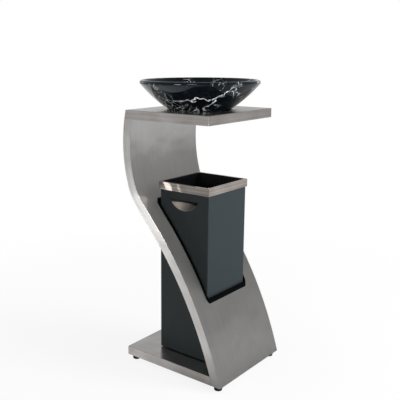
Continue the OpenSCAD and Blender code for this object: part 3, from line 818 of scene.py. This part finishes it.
bm = rounded_prism(BIN_X, low.y, high.y, low.z, high.z, BIN_CORNER)
ends = [face for face in bm.faces if abs(face.normal.z) > FACING]
bmesh.ops.delete(bm, geom=ends, context="FACES_ONLY")
bmesh.ops.solidify(bm, geom=bm.faces[:], thickness=WALL)
bmesh.ops.recalc_face_normals(bm, faces=bm.faces)
bm = cut_out(bm, half_moon(-BIN_X), half_moon(BIN_X))
# The inner walls take the painted shade: near black, standing in for the shade inside the bin.
paint_shade_inside(bm, 0.0)
coats = [CHARCOAL, PAINTED_SHADE_BLACK]
make_piece("bin_shell_folded", bm, coats, "bin", "bin_shell", edge=0.0003)

# %% [markdown]
# ## The bin's collar
#
# The collar is a channel of folded strip that sits over the bin's top edge, with mitred corners. The outer
# rectangle is extruded up, then in over the edge, then down inside, and solidify makes it sheet. One outline
# for all four sides gives exact mitres. Each side was polished along its length, so the grain follows the
# longest edge of a face.

# %% Collar
low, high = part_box("bin_collar")
LIP, INNER_DROP = 0.0064, 0.013


def longest_edge(face):
    """The direction of a face's longest edge."""
    ways = [edge.verts[1].co - edge.verts[0].co for edge in face.edges]
    return max(ways, key=lambda way: way.length).normalized()


bm = bmesh.new()
outline = ((low.x, low.y), (high.x, low.y), (high.x, high.y), (low.x, high.y))
corners = [bm.verts.new((x, y, low.z)) for x, y in outline]
edges = [bm.edges.new((corners[i - 1], corners[i])) for i in (1, 2, 3, 0)]
for rise, inset in ((high.z - low.z, 0.0), (0.0, LIP), (-INNER_DROP, 0.0)):
    made = bmesh.ops.extrude_edge_only(bm, edges=edges)["geom"]
    edges = [part for part in made if isinstance(part, bmesh.types.BMEdge)]
    edges = [edge for edge in edges if all(vert in made for vert in edge.verts)]
    for vert in (part for part in made if isinstance(part, bmesh.types.BMVert)):
        vert.co.z += rise
        vert.co.x -= math.copysign(inset, vert.co.x)
        vert.co.y -= math.copysign(inset, vert.co.y - BIN_Y)
bmesh.ops.recalc_face_normals(bm, faces=bm.faces)
bmesh.ops.solidify(bm, geom=bm.faces[:], thickness=WALL)
bmesh.ops.recalc_face_normals(bm, faces=bm.faces)
lay_grain(bm, lambda face, vert: along_face(face, vert, longest_edge(face)))
# The faces that look inwards take the painted shade: near black for the shade under the lip.
# The top is level, which gives about zero, so the limit lies just below that.
paint_shade_inside(bm, -0.01)
coats = [COLLAR_STEEL, PAINTED_SHADE_BLACK]
make_piece("bin_collar_channel", bm, coats, "collar", "bin_collar", edge=0.00055)

# %% [markdown]
# ## Handle cups
#
# Each handle is a half-moon dish pressed from steel. The fingers go in below the straight edge and hook up
# behind it, so the dish runs on above the edge, inside the wall, and ends in a level roof. An arc spun round
# gives the dish, two planes trim it, the roof closes it and solidify makes it sheet. The dish runs out to the
# edge of its flange here, which keeps the half-moon's outline crisp. The undercut and a strip below the
# straight edge are near black, painted shade, because no light gets in there.

# %% Dish
CUP_DEPTH, CUP_SHEET = 0.020, 0.0008
# The roof lies this far above the straight edge, and the painted shade reaches this far below it.
HOOK, SHADE = 0.009, 0.009
DISH_R = (CUP_R**2 + CUP_DEPTH**2) / (2 * CUP_DEPTH)
DISH_CENTRE = Vector((-BIN_X - DISH_R + CUP_DEPTH, BIN_Y, CUP_Z))
print("dish radius in mm:", round(1000 * DISH_R, 1))


def left_dish():
    """The skin of the left cup, with the faces of its painted shade marked."""
    bm = bmesh.new()
    deepest = bm.verts.new(DISH_CENTRE + Vector((DISH_R, 0, 0)))
    rim_angle = math.asin(CUP_R / DISH_R)
    bmesh.ops.spin(bm, geom=[deepest], cent=DISH_CENTRE, axis=(0, 1, 0), angle=rim_angle, steps=20)
    spin_round(bm, DISH_CENTRE, (1, 0, 0), 120)
    everything = [*bm.verts, *bm.edges, *bm.faces]
    bmesh.ops.bisect_plane(bm, geom=everything, plane_co=(0, 0, CUP_TOP - SHADE), plane_no=(0, 0, 1))
    slice_off(bm, bm.faces[:], (0, 0, CUP_TOP + HOOK), (0, 0, 1))
    hooked = [face for face in bm.faces if face.calc_center_median().z > CUP_TOP]
    slice_off(bm, hooked, (-BIN_X + WALL, 0, 0), (-1, 0, 0))
    top = CUP_TOP + HOOK - 1e-5
    roof = [edge for edge in bm.edges if edge.is_boundary and all(v.co.z > top for v in edge.verts)]
    around = dict.fromkeys(vert for edge in roof for vert in edge.verts)
    ends = [vert for vert in around if sum(edge in roof for edge in vert.link_edges) == 1]
    roof.append(bm.edges.new(ends))
    bmesh.ops.contextual_create(bm, geom=roof)
    bmesh.ops.dissolve_degenerate(bm, dist=2e-5, edges=bm.edges)
    # Faces near and above the straight edge take the painted shade, a near black for the undercut's shadow.
    for face in bm.faces:
        face.material_index = 1 if face.calc_center_median().z > CUP_TOP - SHADE else 0
    bmesh.ops.recalc_face_normals(bm, faces=bm.faces)
    return bm


# %% Handle cups
for name, way in (("left_handle_cup", 1), ("right_handle_cup", -1)):
    bm = left_dish()
    bmesh.ops.solidify(bm, geom=bm.faces[:], thickness=CUP_SHEET)
    bmesh.ops.scale(bm, vec=(way, 1, 1), verts=bm.verts)
    bmesh.ops.recalc_face_normals(bm, faces=bm.faces)
    lay_grain(bm, lambda face, vert: (vert.co.y, vert.co.z))
    make_piece(name + "_pressed", bm, [CUP_STEEL, PAINTED_SHADE_BLACK], "bin", name, edge=0.0003)

# %% [markdown]
# ## Solids that stay
#
# The closing plates, linings, screws, nuts, pads and bumpers keep their CAD shape. Each only needs its real
# finish, which goes into the slots that its mesh already has. The plain material that a slot starts with is
# named for that finish. Two solids differ: the edging is near black, and the bin's floor gets the painted
# shade of the inside of its walls.

# %% Finishes for the CAD solids
FINISHES = {
    "brushed_stainless": INNER_STEEL,
    "plated_steel": PLATED,
    "charcoal_powder_coat": CHARCOAL,
    "polished_black_stone": MARBLE,
    "black_rubber": RUBBER,
}
# The bin's floor takes the painted shade, a near black for the shade deep in the bin.
OWN_FINISH_AND_SHADE = {"opening_edging": EDGING, "bin_floor": PAINTED_SHADE_BLACK}
for name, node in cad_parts.items():
    for slot in node.material_slots:
        finish = next((FINISHES[key] for key in FINISHES if key in slot.material.name), PLATED)
        slot.material = OWN_FINISH_AND_SHADE.get(name, finish)
        print(name, "gets", slot.material.name)

# %% [markdown]
# ## Floor
#
# The photograph has a plain white studio, so the floor is pale and large. The camera sees it mixed with a
# white glow, a little less of it near the stand, where the soft shadow has to show. Brushed steel mostly
# shows what it mirrors, and a studio floor isn't evenly bright: the mirrored one is palest on the stand's
# left, greyer far out on both sides, and dark under the stand and close to its right. A dot product with the
# direction that the camera sees as right says where a spot lies.

# %% Floor
FLOOR_REACH = 12
bm = bmesh.new()
bmesh.ops.create_grid(bm, x_segments=1, y_segments=1, size=FLOOR_REACH)
floor_mesh = bpy.data.meshes.new("floor")
bm.to_mesh(floor_mesh)
bm.free()
floor = bpy.data.objects.new("floor", floor_mesh)
scene.collection.objects.link(floor)
material, tree = new_material("studio_floor")
path = add(tree, "LightPath").outputs
spot = add(tree, "TexCoord").outputs["Object"]
away = add(tree, "VectorMath", {0: spot}, operation="LENGTH")
clear = add(tree, "MapRange", {0: away, 1: 0.3, 2: 1.5, 3: 0.87, 4: 1.0})
seen = add(tree, "Math", {0: path["Is Camera Ray"], 1: clear}, operation="MULTIPLY")
right = add(tree, "VectorMath", {0: spot, 1: (1.0, -1.0, 0.0)}, operation="DOT_PRODUCT")
far_right = add(tree, "MapRange", {0: right, 1: 0.9, 2: 2.6, 3: 0.0, 4: 0.58})
near_left = add(tree, "MapRange", {0: right, 1: -0.45, 2: -0.02, 3: 0.95, 4: 0.0})
far_left = add(tree, "MapRange", {0: right, 1: -2.9, 2: -2.0, 3: 0.30, 4: 0.95})
left = add(tree, "Math", {0: near_left, 1: far_left}, operation="MINIMUM")
pale = add(tree, "Math", {0: far_right, 1: left}, operation="MAXIMUM")
shiny = {0: path["Is Glossy Ray"], 1: path["Is Transmission Ray"]}
shiny = add(tree, "Math", shiny, operation="ADD")
mirrored = add(tree, "Math", {0: shiny, 1: pale}, operation="MULTIPLY")
share = add(tree, "Math", {0: seen, 1: mirrored}, operation="MAXIMUM")
greys = {FACTOR: path["Is Camera Ray"], FROM_COLOUR: hex_colour("#B2B2B2"), TO_COLOUR: hex_colour("#FFFFFF")}
paint = add(tree, "BsdfDiffuse", {"Color": add(tree, "Mix", greys, data_type="RGBA")})
glow = add(tree, "Emission", {"Color": hex_colour("#FFFFFF"), "Strength": 1.0})
add(tree, "OutputMaterial", {"Surface": add(tree, "MixShader", {0: share, 1: paint, 2: glow})})
floor_mesh.materials.append(material)
print("floor nodes:", len(tree.nodes))

# %% [markdown]
# ## World
#
# The camera sees a plain white world. The object is lit by a soft grey one, darker above, as a room with a
# dim ceiling is. What metal mirrors lies between the two: it is palest low down at the back, like a lit
# backdrop, so that the curved sheets turn from light to dark.

# %% World
world = bpy.data.worlds.new("studio")
scene.world = world
world.use_nodes = True
tree = world.node_tree
tree.nodes.clear()
path = add(tree, "LightPath").outputs
direction = add(tree, "TexCoord").outputs["Generated"]
height = add(tree, "SeparateXYZ", {0: direction}).outputs["Z"]
room = add(tree, "MapRange", {0: height, 1: 0.15, 2: 0.9, 3: 0.35, 4: 0.18})
room = add(tree, "CombineColor", {0: room, 1: room, 2: room})
rearwards = add(tree, "VectorMath", {0: direction, 1: (0.55, 0.84, 0.0)}, operation="DOT_PRODUCT")
backdrop = add(tree, "MapRange", {0: rearwards, 1: 0.0, 2: 1.0, 3: 0.0, 4: 0.62})
low_down = add(tree, "MapRange", {0: height, 1: 0.1, 2: 0.5, 3: 1.0, 4: 0.6})
backdrop = add(tree, "Math", {0: backdrop, 1: low_down}, operation="MULTIPLY")
shiny = {0: path["Is Glossy Ray"], 1: path["Is Transmission Ray"]}
shiny = add(tree, "Math", shiny, operation="ADD")
mirrored = add(tree, "Math", {0: shiny, 1: backdrop}, operation="MULTIPLY")
share = add(tree, "Math", {0: path["Is Camera Ray"], 1: mirrored}, operation="MAXIMUM")
greys = {FACTOR: share, FROM_COLOUR: room, TO_COLOUR: hex_colour("#FFFFFF")}
sky = add(tree, "Background", {"Color": add(tree, "Mix", greys, data_type="RGBA"), "Strength": 1.0})
add(tree, "OutputWorld", {"Surface": sky})
print("world nodes:", len(tree.nodes))

# %% [markdown]
# ## Lamps
#
# A photographer of metal lights it twice: lamps for the paint, and white cards for the steel to mirror.
# The key and the top lamp are hidden from reflections, and the three cards light nothing but are mirrored.
# The small card at the rear makes the bright patch on the collar's left end. A narrow spot lights the bowl's
# white veins. It is hidden from reflections, so the steel around them, which only mirrors, doesn't show it.

# %% Lamps
def add_lamp(kind, name, place, aim, power, hidden_from):
    """A lamp at a place, turned to its aim. Some kinds of ray don't meet it."""
    data = bpy.data.lights.new(name, kind)
    data.energy = power
    lamp = bpy.data.objects.new(name, data)
    scene.collection.objects.link(lamp)
    lamp.location = place
    lamp.rotation_euler = (Vector(aim) - Vector(place)).to_track_quat("-Z", "Y").to_euler()
    for ray in hidden_from:
        setattr(lamp, "visible_" + ray, False)
    return data


def add_disc(name, place, aim, size, power, hidden_from):
    """A round lamp or card of a size in metres."""
    data = add_lamp("AREA", name, place, aim, power, hidden_from)
    data.shape = "DISK"
    data.size = size
    return data


NO_SHINE, ONLY_SHINE = ["glossy"], ["diffuse", "camera"]
add_disc("key", (1.0, -2.5, 1.9), (0, 0, 0.4), size=1.6, power=90, hidden_from=NO_SHINE)
add_disc("top", (-0.38, 0.47, 2.7), (0, 0, 0.7), size=0.8, power=9, hidden_from=NO_SHINE)
add_disc("side_card", (-2.55, 0.15, 1.05), (-0.15, 0.03, 0.42), size=0.6, power=18, hidden_from=["diffuse"])
add_disc("front_card", (-1.88, -0.75, 1.69), (-0.12, 0.08, 0.5), size=0.7, power=9, hidden_from=ONLY_SHINE)
COLLAR_END = (-0.093, 0.064, 0.525)
rear_card = add_disc("rear_card", (-1.15, 1.07, 0.22), COLLAR_END, 0.25, power=0.36, hidden_from=ONLY_SHINE)
rear_card.shape = "SQUARE"
BOWL_MIDDLE = (0.0, 0.0, 0.775)
bowl_light = add_lamp("SPOT", "bowl_light", (-1.55, -1.25, 0.88), BOWL_MIDDLE, 120, hidden_from=NO_SHINE)
bowl_light.shadow_soft_size = 0.1
bowl_light.spot_size = math.radians(12)
bowl_light.spot_blend = 0.5
